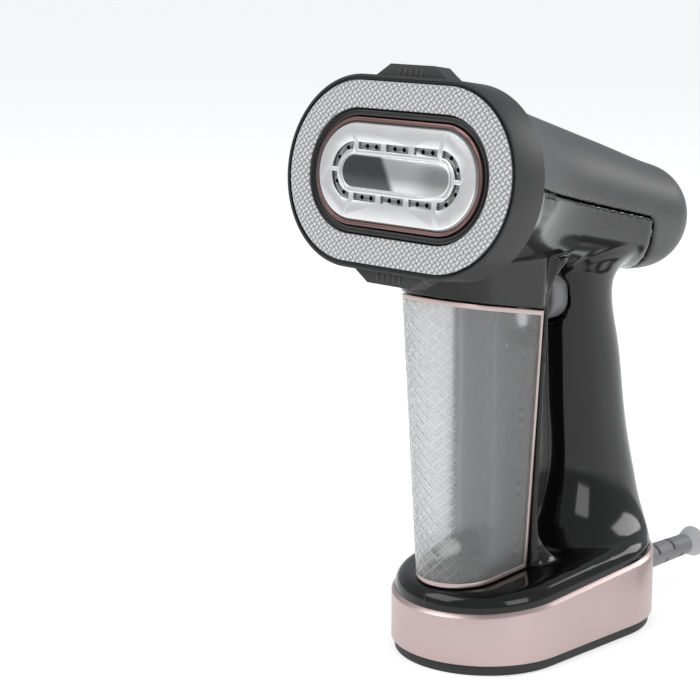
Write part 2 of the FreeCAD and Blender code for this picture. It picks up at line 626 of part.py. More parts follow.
def make_controls():
    tip = BARREL[-1][0] + BARREL[-1][2]
    cap = rod(7.0, (0, tip - 4.0, BUTTON_W), (0, tip + 0.2, BUTTON_W))
    cap = cap.common(barrel_solid(-0.9, 4)).cut(rod(5.4, (0, tip - 5, BUTTON_W), (0, tip - 2.4, BUTTON_W)))
    stem = rod(2.0, (0, tip - 9.0, BUTTON_W), (0, tip - 2.0, BUTTON_W))
    save(tilted(cap.fuse(stem)), "power_button")
    board = box(-11, 11, tip - 14.0, tip - 12.4, BUTTON_W - 9, BUTTON_W + 7)
    switch = box(-4, 4, tip - 12.4, tip - 10.3, BUTTON_W - 4, BUTTON_W + 4)
    save(tilted(board), "button_board")
    save(tilted(switch), "button_switch")
    lens = rod(2.0, (0, tip - 9.0, LENS_W), (0, tip + 4, LENS_W)).common(barrel_solid(-0.2, 4))
    save(tilted(lens), "indicator_lens")


# ---- water and power in the base ----
def make_internals():
    body = rod(9.5, (0, -6, 21), (0, 16, 21)).fuse(box(-14, 14, 16, 42, 9, 33))
    body = body.cut(rod(3.5, (0, -8, 21), (0, 40, 21)))
    save(body, "pump_body")
    save(rod(3.3, (0, 2, 21), (0, 30, 21)), "pump_plunger")
    save(fuse([box(-15.5, -14.2, 20, 38, 8.2, 24), box(-15.5, -10, 20, 38, 8.2, 9.0)]), "pump_bracket")
    board = box(-22, 22, -58, -34, 11.0, 12.6)
    save(board, "control_board")
    chips = [box(-18, -8, -54, -44, 12.6, 22.0), box(0, 12, -56, -48, 12.6, 18.0), rod(4, (6, -41, 12.6), (6, -41, 24)),
             box(-16, -6, -42, -37, 12.6, 20.0), box(13, 20, -46, -36, 12.6, 17.0)]
    save(Part.makeCompound(chips), "board_components")
    terminal = box(-11, 11, 46, 56, 8.2, 19.0)
    for x in (-7, 0, 7):
        terminal = terminal.cut(rod(1.8, (x, 51, 14), (x, 51, 20)))
    save(terminal, "terminal_block")
    clamp = box(-9, 9, 59, 64, 8.2, 19.5).cut(rod(CORD_RADIUS, (0, 50, CORD_HEIGHT), (0, 80, CORD_HEIGHT)))
    save(clamp, "cord_clamp")
    save(rod(2.4, (-2.8, -26.6, 58.0), (-2.8, -26.6, 181.0)), "steam_water_hose")
    save(tube(4.6, 2.8, (0, RIB_FRONT + 6.0, 52), (0, RIB_FRONT + 6.5, 52)).fuse(
        box(-4.6, 4.6, RIB_FRONT + 6.5, -25.2, 40.0, 58.0)), "hose_elbow")
    save(rod(2.2, (4.9, -22.9, 44.0), (4.9, -22.9, 181.0)), "wire_harness")


# ---- cord ----
def make_cord():
    neck = rod(5.3, (0, 66, CORD_HEIGHT), (0, 76, CORD_HEIGHT))
    flange = rod(8.0, (0, 64.2, CORD_HEIGHT), (0, 68.0, CORD_HEIGHT))
    cone = Part.makeCone(6.4, 5.3, GUARD_END - 74.0, Vector(0, 74.0, CORD_HEIGHT), Vector(0, 1, 0))
    flange = flange.common(base_prism(BASE_RADIUS - BAND_WALL - WALL - 0.4, FOOT_HEIGHT + 3.2, 60))
    guard = fuse([neck, flange, cone])
    for step in range(7):
        y = 80.0 + 6.4 * step
        cut = tube(9.0, 4.3, (0, y, CORD_HEIGHT), (0, y + 2.0, CORD_HEIGHT))
        side = 1 if step % 2 else -1
        guard = guard.cut(cut.common(box(-12, 12, y - 1, y + 4, *sorted((CORD_HEIGHT + side * 1.6,
                                                                         CORD_HEIGHT + side * 12)))))
    guard = guard.cut(rod(CORD_RADIUS, (0, 50, CORD_HEIGHT), (0, 150, CORD_HEIGHT)))
    save(guard, "cord_guard")
    length = BULB_END - GUARD_END
    bulb = Part.makeCone(5.2, 8.0, length * 0.62, Vector(0, GUARD_END, CORD_HEIGHT), Vector(0, 1, 0)).fuse(
        Part.makeCone(8.0, 4.6, length * 0.38, Vector(0, GUARD_END + length * 0.62, CORD_HEIGHT), Vector(0, 1, 0)))
    save(bulb.cut(rod(CORD_RADIUS, (0, 50, CORD_HEIGHT), (0, 150, CORD_HEIGHT))), "cord_guard_flare")
    save(rod(CORD_RADIUS, (0, 57, CORD_HEIGHT), (0, BULB_END, CORD_HEIGHT)), "cord_core")

    x, y = COIL_CENTRE
    outer = COIL_MIDDLE_RADIUS + COIL_HALF_WIDTH
    inner = COIL_MIDDLE_RADIUS - COIL_HALF_WIDTH
    coil = tube(outer, inner, (x, y, 0.1), (x, y, COIL_HEIGHT))
    coil = coil.makeFillet(5.0, [edge for edge in coil.Edges if edge.Closed])
    save(coil, "cord_coil")
    for route, name in ((CORD_ROUTE, "cord_lead"), (TAIL_ROUTE, "cord_tail")):
        free = swept(route, CORD_RADIUS, name).cut(coil)
        save(max(free.Solids, key=lambda solid: solid.Volume), name)
    before, last = Vector(*TAIL_ROUTE[-2]), Vector(*TAIL_ROUTE[-1])
    heading = (last - before).normalize()
    body = oval_loft(PLUG_SECTIONS)
    pins = Part.makeCompound([rod(2.0, (side * 9.5, 0, 34.0), (side * 9.5, 0, 53.0)) for side in (-1, 1)])
    level = math.degrees(math.atan2(heading.y, heading.x))
    turn = FreeCAD.Rotation(Vector(0, 0, 1), level).multiply(FreeCAD.Rotation(Vector(0, 1, 0), 90))
    turn = turn.multiply(FreeCAD.Rotation(Vector(0, 0, 1), 90))
    for shape, name in ((body, "plug_body"), (pins, "plug_pins")):
        shape.Placement = FreeCAD.Placement(last, turn)
        save(shape, name)


def oval_loft(sections):
    wires = [oval(Vector(0, 0, z), Vector(1, 0, 0), Vector(0, 1, 0), a, b, 2.6, 28) for z, a, b in sections]
    return Part.makeLoft(wires, True, False)


if __name__ == "__main__":
    os.makedirs("parts", exist_ok=True)
    make_base()
    make_body()
    make_nose()
    make_pad()
    make_boiler()
    make_tank()
    make_trigger()
    make_controls()
    make_internals()
    make_cord()
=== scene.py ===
"""Visual model of a handheld garment steamer: clip-on fabric pad, lift-off tank and coiled cord."""

import json
import math

import bpy
from mathutils import Matrix, Vector

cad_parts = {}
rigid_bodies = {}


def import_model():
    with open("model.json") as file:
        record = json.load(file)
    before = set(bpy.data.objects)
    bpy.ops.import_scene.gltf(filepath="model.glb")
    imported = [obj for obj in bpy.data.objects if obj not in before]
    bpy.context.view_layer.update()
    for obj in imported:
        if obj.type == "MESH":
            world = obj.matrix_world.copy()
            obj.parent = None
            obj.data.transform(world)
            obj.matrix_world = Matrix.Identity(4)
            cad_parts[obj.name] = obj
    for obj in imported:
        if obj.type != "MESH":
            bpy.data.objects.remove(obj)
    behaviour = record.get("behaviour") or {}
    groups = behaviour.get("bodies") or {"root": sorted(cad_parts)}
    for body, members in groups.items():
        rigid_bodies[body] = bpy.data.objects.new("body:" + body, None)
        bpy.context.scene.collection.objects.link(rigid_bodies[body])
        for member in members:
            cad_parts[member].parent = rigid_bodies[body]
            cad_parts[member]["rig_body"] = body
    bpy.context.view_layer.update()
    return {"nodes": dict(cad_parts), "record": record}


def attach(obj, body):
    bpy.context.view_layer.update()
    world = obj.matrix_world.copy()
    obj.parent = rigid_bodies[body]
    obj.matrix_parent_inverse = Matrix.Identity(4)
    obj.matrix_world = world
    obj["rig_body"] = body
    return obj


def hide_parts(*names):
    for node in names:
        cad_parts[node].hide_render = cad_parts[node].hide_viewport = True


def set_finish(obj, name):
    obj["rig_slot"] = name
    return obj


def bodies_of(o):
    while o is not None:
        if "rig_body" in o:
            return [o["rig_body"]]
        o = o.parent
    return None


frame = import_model()

bl_info = {
    "name": "Garment steamer",
    "version": (1, 0, 0),
    "blender": (4, 5, 0),
    "location": "View3D > Sidebar > Steamer",
    "description": "Builds a handheld garment steamer, piece by piece",
    "category": "Add Mesh",
}

MERGE = 2e-6
MIDDLE_TOLERANCE = 2e-5

# The head is drawn level and tilted nose-up: X across, W up over the steam face, F out of its front.
HEAD_UP = Vector((0.0, 0.15195, 0.98839))
HEAD_FRONT = Vector((0.0, -0.98839, 0.15195))
HEAD_PIVOT = Vector((0.0, -0.0402, 0.216))
HEAD_HALF = 0.0247
SEAM_DROP = 0.0011
SEAM_SLOPE = 0.068

CAMERA_PLACE = Vector((0.5742, -0.6910, 0.3238))
CAMERA_AIM = Vector((0.0, -0.1165, 0.1526))

CORD_ROUTE = [
    (0.0, 0.140, 0.0136), (0.0, 0.152, 0.0136), (-0.0003, 0.164, 0.0098), (-0.0008, 0.176, 0.0054),
    (-0.0008, 0.188, 0.0037), (0.0, 0.204, 0.0037),
]
TAIL_ROUTE = [
    (0.1087, 0.208, 0.0108), (0.1081, 0.194, 0.0101), (0.1058, 0.181, 0.0082), (0.1024, 0.168, 0.0071),
    (0.0983, 0.155, 0.0077), (0.0948, 0.142, 0.0077),
]
COIL_CENTRE = (0.05435, 0.214)
COIL_OUTER = 0.05435
COIL_INNER = 0.0295
COIL_CLIMB = 0.0282
COIL_SPIRAL_TURNS = 3.5
COIL_CLIMB_TURNS = 0.5
LOW_LAYER = 0.0037
HIGH_LAYER = 0.0108
# A smooth curve runs inside its control points, so the coil's points stand out by this factor.
COIL_SWELL = 1.010
POINTS_PER_TURN = 16


def head_matrix():
    """Local X, Y and Z become across, up and out of the steam face."""
    turn = Matrix((Vector((1.0, 0.0, 0.0)), HEAD_UP, HEAD_FRONT)).transposed().to_4x4()
    return Matrix.Translation(HEAD_PIVOT) @ turn


# ---- settings ----
class ShellSettings(bpy.types.PropertyGroup):
    cell: bpy.props.FloatProperty(
        name="Shell cell", description="Mesh size of the moulded shells", default=0.00095,
        subtype="DISTANCE", unit="LENGTH")
    rounds: bpy.props.IntProperty(
        name="Softening", description="How many times the shell's edges are relaxed", default=12)
    blend_rounds: bpy.props.IntProperty(
        name="Blending", description="How many more times the handle's flared ends are relaxed",
        default=45)
    gloss_black: bpy.props.FloatVectorProperty(
        name="Gloss black", description="Colour of the polished mouldings",
        default=(0.004, 0.004, 0.0043), size=3, subtype="COLOR")
    matte_grey: bpy.props.FloatVectorProperty(
        name="Matte grey", description="Colour of the barrel cover and the pad frame",
        default=(0.042, 0.042, 0.043), size=3, subtype="COLOR")


class PadSettings(bpy.types.PropertyGroup):
    weave: bpy.props.FloatProperty(
        name="Weave", description="Width of one thread of the pad's cloth", default=0.0021,
        subtype="DISTANCE", unit="LENGTH")
    crown: bpy.props.FloatProperty(
        name="Crown", description="How far the cloth stands proud in the middle of the ring",
        default=0.0006, subtype="DISTANCE", unit="LENGTH")
    cloth: bpy.props.FloatVectorProperty(
        name="Cloth", description="Colour of the pad's cloth", default=(0.47, 0.475, 0.48), size=3,
        subtype="COLOR")


class TankSettings(bpy.types.PropertyGroup):
    lattice: bpy.props.FloatProperty(
        name="Lattice", description="Height of one diamond moulded inside the tank", default=0.0052,
        subtype="DISTANCE", unit="LENGTH")
    tint: bpy.props.FloatVectorProperty(
        name="Tint", description="Colour of the frosted plastic", default=(0.90, 0.905, 0.91), size=3,
        subtype="COLOR")
    rose_metal: bpy.props.FloatVectorProperty(
        name="Rose metal", description="Colour of the base band and the tank's trim",
        default=(0.50, 0.395, 0.385), size=3, subtype="COLOR")


class CordSettings(bpy.types.PropertyGroup):
    diameter: bpy.props.FloatProperty(
        name="Diameter", description="Thickness of the mains lead", default=0.007, subtype="DISTANCE",
        unit="LENGTH")
    length: bpy.props.FloatProperty(
        name="Length", description="Length from the guard to the plug", default=2.07, subtype="DISTANCE",
        unit="LENGTH")


class StageSettings(bpy.types.PropertyGroup):
    floor_size: bpy.props.FloatProperty(
        name="Floor", description="Side of the pale floor", default=60.0, subtype="DISTANCE",
        unit="LENGTH")
    key: bpy.props.FloatProperty(
        name="Key light", description="Strength of the main soft light", default=16.0, unit="POWER")
    fill: bpy.props.FloatProperty(
        name="Fill light", description="Strength of the second soft light", default=7.0, unit="POWER")
    lens: bpy.props.FloatProperty(
        name="Lens", description="Focal length on a 36 mm sensor, in millimetres", default=102.07)


# ---- material maths ----
class Value:
    """A node's output that can stand in ordinary arithmetic."""

    def __init__(self, graph, socket):
        self.graph = graph
        self.socket = socket

    def __add__(self, other):
        return self.graph.maths("ADD", self, other)

    def __radd__(self, other):
        return self.graph.maths("ADD", other, self)

    def __sub__(self, other):
        return self.graph.maths("SUBTRACT", self, other)

    def __rsub__(self, other):
        return self.graph.maths("SUBTRACT", other, self)

    def __mul__(self, other):
        return self.graph.maths("MULTIPLY", self, other)

    def __rmul__(self, other):
        return self.graph.maths("MULTIPLY", other, self)

    def __truediv__(self, other):
        return self.graph.maths("DIVIDE", self, other)

    def __pow__(self, other):
        return self.graph.maths("POWER", self, other)


class Graph:
    """The nodes of one material."""

    def __init__(self, name):
        self.material = bpy.data.materials.new("steamer_" + name)
        self.material.use_nodes = True
        self.tree = self.material.node_tree
        self.tree.nodes.clear()
        place = self.node("ShaderNodeTexCoord", output="Object")
        self.place = place
        self.x = self.node("ShaderNodeSeparateXYZ", {"Vector": place}, output="X")
        parts = self.x.socket.node
        self.y = Value(self, parts.outputs["Y"])
        self.z = Value(self, parts.outputs["Z"])

    def node(self, kind, inputs=None, output=0, stops=None, **settings):
        made = self.tree.nodes.new(kind)
        for key, value in settings.items():
            setattr(made, key, value)
        if stops:
            ramp = made.color_ramp
            while len(ramp.elements) < len(stops):
                ramp.elements.new(0.5)
            for element, (position, colour) in zip(ramp.elements, stops):
                element.position = position
                element.color = (*colour, 1.0)
        for key, value in (inputs or {}).items():
            if isinstance(value, Value):
                self.tree.links.new(value.socket, made.inputs[key])
            else:
                made.inputs[key].default_value = value
        return Value(self, made.outputs[output])

    def maths(self, operation, *operands):
        return self.node("ShaderNodeMath", dict(enumerate(operands)), operation=operation)

    def noise(self, size, detail=3.0, vector=None):
        """Soft noise whose blots are about size metres across, from 0 to 1."""
        return self.node("ShaderNodeTexNoise", {"Vector": vector or self.place, "Scale": 1.0 / size,
                                                "Detail": detail, "Roughness": 0.55}, output="Fac")

    def step(self, value, low, high):
        """0 below low, 1 above high, smooth between."""
        return self.node("ShaderNodeMapRange", {"Value": value, "From Min": low, "From Max": high},
                         output="Result", interpolation_type="SMOOTHSTEP")

    def blend(self, factor, first, second):
        """A mix of two colours."""
        first = first if isinstance(first, Value) else (*first, 1.0)
        second = second if isinstance(second, Value) else (*second, 1.0)
        return self.node("ShaderNodeMix", {0: factor, 6: first, 7: second}, output=2, data_type="RGBA")

    def squeeze(self, along, across):
        """Object coordinates stretched so that a pattern runs along one axis."""
        scale = tuple(1.0 if axis == along else across for axis in range(3))
        return self.node("ShaderNodeMapping", {"Vector": self.place, "Scale": scale})

    def surface(self, colour, roughness, height=None, depth=0.0001, strength=0.5, **fixed):
        """Closes the material: colour and roughness may vary, the fixed sockets don't."""
        if not isinstance(colour, Value):
            colour = (*colour, 1.0)
        inputs = {"Base Color": colour, "Roughness": roughness}
        for key, value in fixed.items():
            inputs[key.replace("_", " ").title().replace("Ior", "IOR")] = value
        if height is not None:
            inputs["Normal"] = self.node("ShaderNodeBump", {"Height": height, "Distance": depth,
                                                            "Strength": strength}, output="Normal")
        shader = self.node("ShaderNodeBsdfPrincipled", inputs)
        self.node_output(shader)
        return self.material

    def node_output(self, shader):
        made = self.tree.nodes.new("ShaderNodeOutputMaterial")
        self.tree.links.new(shader.socket, made.inputs["Surface"])


def scaled(colour, factor):
    return tuple(min(1.0, channel * factor) for channel in colour)


def plain_finish(name, colour, roughness, grain=0.0006, depth=0.00002, change=0.12, **fixed):
    """A moulded or cast finish: fine grain in its surface, and slow changes in tone and polish."""
    graph = Graph(name)
    fine = graph.noise(grain, 4.0)
    slow = graph.noise(0.03, 2.0)
    tone = graph.blend(graph.step(slow * 0.7 + fine * 0.3, 0.3, 0.7), scaled(colour, 1.0 - change),
                       scaled(colour, 1.0 + change))
    polish = roughness + (fine - 0.5) * 0.12 * roughness + (slow - 0.5) * 0.1 * roughness
    return graph.surface(tone, polish, fine, depth, 0.6, **fixed)


def gloss_finish(name, colour):
    """Polished black moulding: faint waves in the skin and hair-fine polishing marks."""
    graph = Graph(name)
    wave = graph.noise(0.035, 1.0)
    marks = graph.noise(0.0009, 3.0, graph.squeeze(2, 8.0))
    dust = graph.step(graph.noise(0.0012, 5.0), 0.68, 0.8)
    tone = graph.blend(dust * 0.12, colour, scaled(colour, 5.0))
    polish = 0.085 + marks * 0.03 + wave * 0.03 + dust * 0.05
    return graph.surface(tone, polish, wave, 0.0002, 0.05, ior=1.42)


def brushed_finish(name, colour, roughness, along):
    """Metal or metal-look lacquer brushed in one direction."""
    graph = Graph(name)
    lines = graph.noise(0.00035, 3.0, graph.squeeze(along, 14.0))
    slow = graph.noise(0.02, 2.0)
    tone = graph.blend(lines * 0.6 + slow * 0.4, scaled(colour, 0.88), scaled(colour, 1.1))
    polish = roughness + (lines - 0.5) * 0.16 + (slow - 0.5) * 0.05
    return graph.surface(tone, polish, lines, 0.00002, 0.25, metallic=0.85)


def cloth_finish(name, colour, thread):
    """A basket weave of round threads, over and under, with loose fibres, and painted shade and
    highlight: the gaps between threads darker, their crowns lighter.
    """
    graph = Graph(name)
    across = graph.x / thread
    up = (graph.y * HEAD_UP.y + graph.z * HEAD_UP.z) / thread
    first = (across + up) * 0.7071
    second = (across - up) * 0.7071
    warp = graph.maths("ABSOLUTE", graph.maths("SINE", first * math.pi))
    weft = graph.maths("ABSOLUTE", graph.maths("SINE", second * math.pi))
    cell = graph.maths("FLOOR", first) + graph.maths("FLOOR", second)
    over = graph.maths("PINGPONG", cell, 1.0)
    lift = graph.maths("SINE", (second + 0.5) * math.pi) * 0.5 + 0.5
    height = over * warp * (0.45 + lift * 0.55) + (1.0 - over) * weft * (0.45 + (1.0 - lift) * 0.55)
    fibres = graph.noise(0.00025, 4.0)
    slub = graph.noise(0.004, 3.0)
    # Painted shade and highlight: the tone follows thread height, darker in the gaps between threads and
    # lighter on their crowns; fibres and slubs add random tone.
    light = graph.step(height * 0.85 + fibres * 0.15 + slub * 0.1, 0.1, 0.95)
    tone = graph.blend(light, scaled(colour, 0.34), scaled(colour, 1.4))
    return graph.surface(tone, 0.86 + fibres * 0.1, height + fibres * 0.08, 0.0003, 0.5,
                         sheen_weight=0.25, sheen_roughness=0.5)


def tank_finish(name, tint, lattice):
    """Frosted clear plastic with a lattice of diamonds on the part to the left of its middle."""
    graph = Graph(name)
    turn = graph.maths("ARCTAN2", graph.x, graph.y * -1.0 - 0.03) * 0.021
    first = graph.maths("PINGPONG", (turn * 1.6 + graph.z) / lattice, 0.5) * 2.0
    second = graph.maths("PINGPONG", (turn * 1.6 - graph.z) / lattice, 0.5) * 2.0
    ridge = graph.step(graph.maths("MAXIMUM", first, second), 0.72, 0.98)
    fine = graph.noise(0.0005, 4.0)
    cloud = graph.noise(0.025, 3.0)
    zone = graph.step(graph.x, 0.016, 0.006)
    tone = graph.blend(ridge * zone * 0.7 + cloud * 0.2, scaled(tint, 0.86), scaled(tint, 1.35))
    frost = 0.2 + fine * 0.08 + ridge * zone * 0.14
    return graph.surface(tone, frost, ridge * zone + fine * 0.2, 0.0003, 0.45, transmission_weight=0.92,
                         ior=1.3)


def dotted_finish(name, colour):
    """A soft grip with a close pattern of raised dots."""
    graph = Graph(name)
    pitch = 0.0024
    row = graph.z / pitch
    shift = graph.maths("PINGPONG", graph.maths("FLOOR", row), 1.0) * 0.5
    column = graph.x / pitch + shift
    across = graph.maths("FRACT", column) - 0.5
    along = graph.maths("FRACT", row) - 0.5
    reach = graph.maths("SQRT", across * across + along * along)
    dot = graph.step(reach, 0.36, 0.2)
    fine = graph.noise(0.0004, 3.0)
    tone = graph.blend(dot * 0.8 + fine * 0.2, colour, scaled(colour, 4.0))
    return graph.surface(tone, 0.5 + fine * 0.15, dot + fine * 0.15, 0.0006, 0.9)


def plate_finish(name, colour):
    """Polished soleplate with the finest turning marks, and painted shade: darker below the steam face,
    in its recesses.
    """
    graph = Graph(name)
    marks = graph.noise(0.0004, 3.0, graph.squeeze(0, 12.0))
    slow = graph.noise(0.015, 2.0)
    # Painted shade: below the steam face, in the recesses, the colour drops to 0.3 of itself.
    out = (graph.y - HEAD_PIVOT.y) * HEAD_FRONT.y + (graph.z - HEAD_PIVOT.z) * HEAD_FRONT.z
    face = graph.step(out, 0.0500, 0.0504)
    tone = graph.blend(marks * 0.5 + slow * 0.5, scaled(colour, 0.92), scaled(colour, 1.06))
    tone = graph.blend(face, scaled(colour, 0.3), tone)
    return graph.surface(tone, 0.2 + marks * 0.08 + slow * 0.04, marks, 0.00001, 0.2, metallic=1.0)


def plaque_finish(name):
    """Mirror-bright name plate left blank, with a painted reflection in its colour: a slanted dark and
    bright split, darker towards one end.
    """
    graph = Graph(name)
    marks = graph.noise(0.0003, 3.0, graph.squeeze(0, 10.0))
    up = graph.y * HEAD_UP.y + graph.z * HEAD_UP.z
    # Painted reflection: a slanted split between a dark and a bright part of the plate, fading darker
    # towards one end.
    painted_reflection_split = graph.step(graph.x + (up - 0.2074) * 0.6, -0.006, -0.002)
    ends = graph.step(graph.x, 0.024, 0.008)
    tone = graph.blend(painted_reflection_split * (0.55 + ends * 0.45), (0.10, 0.10, 0.105), (0.62, 0.62, 0.63))
    return graph.surface(tone, 0.16 + marks * 0.06, marks, 0.00001, 0.2, metallic=1.0)


def board_finish(name, colour):
    """Circuit board with copper tracks under green lacquer."""
    graph = Graph(name)
    waves = graph.maths("SINE", (graph.x + graph.noise(0.006) * 0.004) * 2600.0)
    tracks = graph.step(graph.maths("ABSOLUTE", waves), 0.86, 0.93)
    fine = graph.noise(0.0005, 3.0)
    tone = graph.blend(tracks * 0.6 + fine * 0.2, colour, scaled(colour, 2.4))
    return graph.surface(tone, 0.35 + fine * 0.2, tracks, 0.00005, 0.4)


def floor_finish(name):
    graph = Graph(name)
    fine = graph.noise(0.002, 3.0)
    tone = graph.blend(fine, (0.92, 0.92, 0.92), (0.94, 0.94, 0.94))
    return graph.surface(tone, 0.75 + fine * 0.1, fine, 0.0001, 0.05, emission_color=(1.0, 1.0, 1.0, 1.0),
                         emission_strength=0.4)


FINISHES = {}


def finishes():
    """Every material, by the name of its slot in the record."""
    if FINISHES:
        return FINISHES
    shell = bpy.context.scene.steamer_shell
    pad = bpy.context.scene.steamer_pad
    tank = bpy.context.scene.steamer_tank
    gloss = tuple(shell.gloss_black)
    matte = tuple(shell.matte_grey)
    rose = tuple(tank.rose_metal)
    FINISHES.update({
        "gloss_black": gloss_finish("gloss_black", gloss),
        "matte_grey": plain_finish("matte_grey", matte, 0.42, 0.0005, 0.00003),
        "grey_weave": cloth_finish("grey_weave", tuple(pad.cloth), pad.weave),
        "foam": plain_finish("foam", (0.12, 0.12, 0.125), 0.95, 0.0009, 0.0004, 0.3),
        "frosted_clear": tank_finish("frosted_clear", tuple(tank.tint), tank.lattice),
        "rose_metal": brushed_finish("rose_metal", rose, 0.34, 2),
        "bronze_ring": brushed_finish("bronze_ring", (0.19, 0.115, 0.11), 0.3, 0),
        "polished_plate": plate_finish("polished_plate", (0.86, 0.86, 0.87)),
        "polished_plaque": plaque_finish("polished_plaque"),
        "matte_black": plain_finish("matte_black", (0.018, 0.018, 0.019), 0.5, 0.0005),
        "seal_rubber": plain_finish("seal_rubber", (0.02, 0.019, 0.019), 0.45, 0.0007, 0.00003),
        "rubber_foot": plain_finish("rubber_foot", (0.017, 0.017, 0.017), 0.62, 0.0008, 0.00005),
        "soft_grip": dotted_finish("soft_grip", (0.02, 0.02, 0.021)),
        "trigger_grey": plain_finish("trigger_grey", (0.15, 0.15, 0.155), 0.36, 0.0006),
        "cable_grey": plain_finish("cable_grey", (0.20, 0.20, 0.205), 0.5, 0.0008, 0.00005),
        "cable_light": plain_finish("cable_light", (0.42, 0.42, 0.425), 0.48, 0.0008, 0.00004),
        "circuit_board": board_finish("circuit_board", (0.01, 0.09, 0.04)),
        "component_black": plain_finish("component_black", (0.025, 0.025, 0.025), 0.4),
        "cast_aluminium": plain_finish("cast_aluminium", (0.55, 0.55, 0.56), 0.5, 0.0012, 0.00015, 0.1,
                                       metallic=1.0),
        "steel": brushed_finish("steel", (0.6, 0.6, 0.61), 0.28, 1),
        "ceramic_white": plain_finish("ceramic_white", (0.75, 0.74, 0.71), 0.45, 0.0007),
        "white_plastic": plain_finish("white_plastic", (0.72, 0.71, 0.69), 0.42, 0.0007),
        "inner_plastic": plain_finish("inner_plastic", (0.05, 0.05, 0.052), 0.55, 0.0008),
        "pump_black": plain_finish("pump_black", (0.03, 0.03, 0.032), 0.45, 0.0008),
        "silicone": plain_finish("silicone", (0.6, 0.6, 0.58), 0.5, 0.001, subsurface_weight=0.2),
        "lens": plain_finish("lens", (0.75, 0.8, 0.85), 0.15, 0.0008, transmission_weight=0.6),
    })
    return FINISHES


# ---- mesh helpers ----
def deselect():
    if bpy.context.object and bpy.context.object.mode != "OBJECT":
        bpy.ops.object.mode_set(mode="OBJECT")
    bpy.ops.object.select_all(action="DESELECT")


def pick(item):
    deselect()
    item.select_set(True)
    bpy.context.view_layer.objects.active = item


def apply_modifier(item, kind, **settings):
    pick(item)
    bpy.ops.object.modifier_add(type=kind)
    modifier = item.modifiers[-1]
    for key, value in settings.items():
        setattr(modifier, key, value)
    bpy.ops.object.modifier_apply(modifier=modifier.name)


def copied(node, name, flatten=True):
    """A free copy of a CAD solid, merged into one connected mesh."""
    pick(frame["nodes"][node])
    bpy.ops.object.duplicate()
    item = bpy.context.object
    item.name = name
    item.data.name = name
    for key in [key for key in item.keys() if key.startswith("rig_")]:
        del item[key]
    bpy.ops.object.parent_clear(type="CLEAR_KEEP_TRANSFORM")
    bpy.ops.mesh.customdata_custom_splitnormals_clear()
    bpy.ops.object.mode_set(mode="EDIT")
    bpy.ops.mesh.select_all(action="SELECT")
    bpy.ops.mesh.remove_doubles(threshold=MERGE)
    if flatten:
        bpy.ops.mesh.dissolve_limited(angle_limit=math.radians(0.3))
    bpy.ops.object.mode_set(mode="OBJECT")
    return item


def dress(item, slot, body="housing", replaced=(), smooth=35.0):
    """Gives a piece its finish, its slot, its shading and the body it rides on."""
    pick(item)
    bpy.ops.object.shade_smooth_by_angle(angle=math.radians(smooth))
    item.data.materials.clear()
    item.data.materials.append(finishes()[slot])
    for polygon in item.data.polygons:
        polygon.material_index = 0
    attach(item, body)
    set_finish(item, slot)
    if replaced:
        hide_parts(*replaced)
    return item


def body_of(node):
    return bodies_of(frame["nodes"][node])[0]


def slot_of(node):
    for part in frame["record"]["subparts"]:
        if part["node"] == node:
            return part["material_slot"]
    raise RuntimeError("no slot for " + node)


def refined(node, name, edge=0.0003, segments=2, smooth=35.0, limit=40.0, slot=None):
    """A CAD solid with eased edges, in place of the plain one."""
    item = copied(node, name)
    if edge:
        apply_modifier(item, "BEVEL", width=edge, segments=segments, limit_method="ANGLE",
                       angle_limit=math.radians(limit), use_clamp_overlap=True, miter_outer="MITER_ARC")
    return dress(item, slot or slot_of(node), body_of(node), [node], smooth)


def carried(node):
    """A CAD solid shown as it is, with its finish."""
    item = frame["nodes"][node]
    item.data.materials.clear()
    item.data.materials.append(finishes()[slot_of(node)])
    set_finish(item, slot_of(node))


def racetrack_ring(name, profile, half, place, vertices):
    """A racetrack-shaped ring through (radius, height) pairs, drawn apart by half each way."""
    deselect()
    radius, height = profile[0]
    bpy.ops.mesh.primitive_circle_add(vertices=vertices, radius=radius, location=(0, 0, 0))
    item = bpy.context.object
    item.name = name
    item.data.name = name
    bpy.ops.object.mode_set(mode="EDIT")
    bpy.ops.mesh.select_mode(type="VERT")
    bpy.ops.mesh.select_all(action="SELECT")
    bpy.ops.transform.translate(value=(0, 0, height))
    for (before, low), (after, high) in zip(profile, profile[1:]):
        bpy.ops.mesh.extrude_region_move(TRANSFORM_OT_translate={"value": (0, 0, high - low)})
        share = after / before
        bpy.ops.transform.resize(value=(share, share, 1.0), center_override=(0, 0, high))
    bpy.ops.mesh.select_all(action="DESELECT")
    bpy.ops.mesh.select_mode(type="EDGE")
    bpy.ops.mesh.select_non_manifold()
    bpy.ops.mesh.bridge_edge_loops()
    bpy.ops.mesh.select_mode(type="VERT")
    for side in (-1, 1):
        bpy.ops.mesh.select_all(action="DESELECT")
        bpy.ops.object.mode_set(mode="OBJECT")
        for vertex in item.data.vertices:
            vertex.select = vertex.co.x * side > 1e-6
        bpy.ops.object.mode_set(mode="EDIT")
        bpy.ops.transform.translate(value=(side * half, 0, 0))
    bpy.ops.mesh.select_all(action="SELECT")
    bpy.ops.mesh.normals_make_consistent(inside=False)
    bpy.ops.object.mode_set(mode="OBJECT")
    item.data.transform(place)
    return item


def halved(item, name, side):
    """The part of a shell on one side of the middle plane."""
    pick(item)
    bpy.ops.object.duplicate()
    half = bpy.context.object
    half.name = name
    half.data.name = name
    bpy.ops.object.mode_set(mode="EDIT")
    bpy.ops.mesh.select_all(action="SELECT")
    bpy.ops.mesh.bisect(plane_co=(0, 0, 0), plane_no=(side, 0, 0), use_fill=True, clear_inner=True)
    bpy.ops.object.mode_set(mode="OBJECT")
    return half


